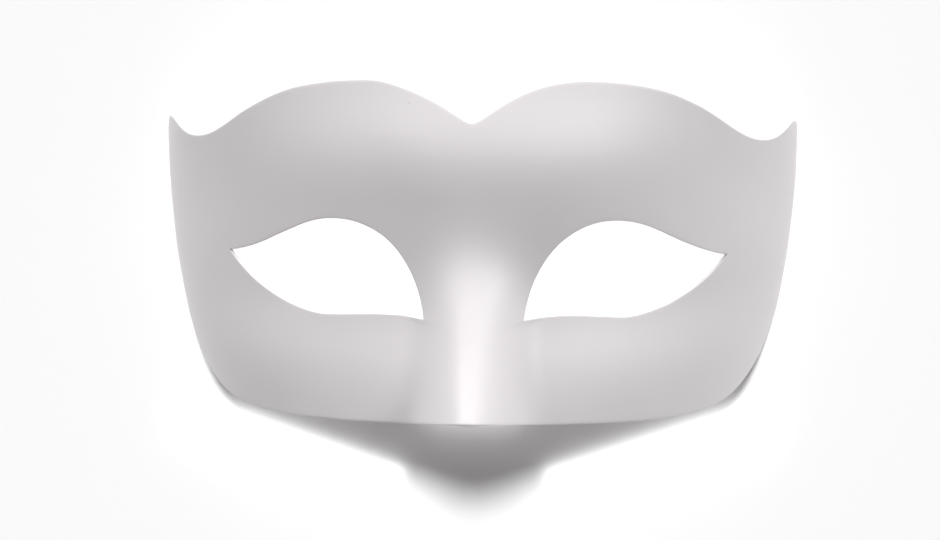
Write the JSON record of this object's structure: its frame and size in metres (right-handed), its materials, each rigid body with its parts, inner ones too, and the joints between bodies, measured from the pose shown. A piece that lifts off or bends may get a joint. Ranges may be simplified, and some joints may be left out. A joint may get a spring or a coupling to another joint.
{
  "type": "venetian eye mask",
  "caption": "Blank Venetian half mask: a thin moulded shell over brow, nose bridge and upper cheeks, with almond eye openings and upturned temple corners, lying face up.",
  "frame": {"origin": "on the table under the middle of the mask's outline, which lies face up on its temple edges", "axes": "+X across the face towards one temple, +Y from the nose towards the brow, +Z out of the face, up"},
  "size_m": [0.1782, 0.0922, 0.0755],
  "materials": {
    "primed_paper": "moulded papier-mache with a smooth white primer, satin"
  },
  "bodies": {
    "root": {"mask_shell": "primed_paper"}
  },
  "joints": []
}
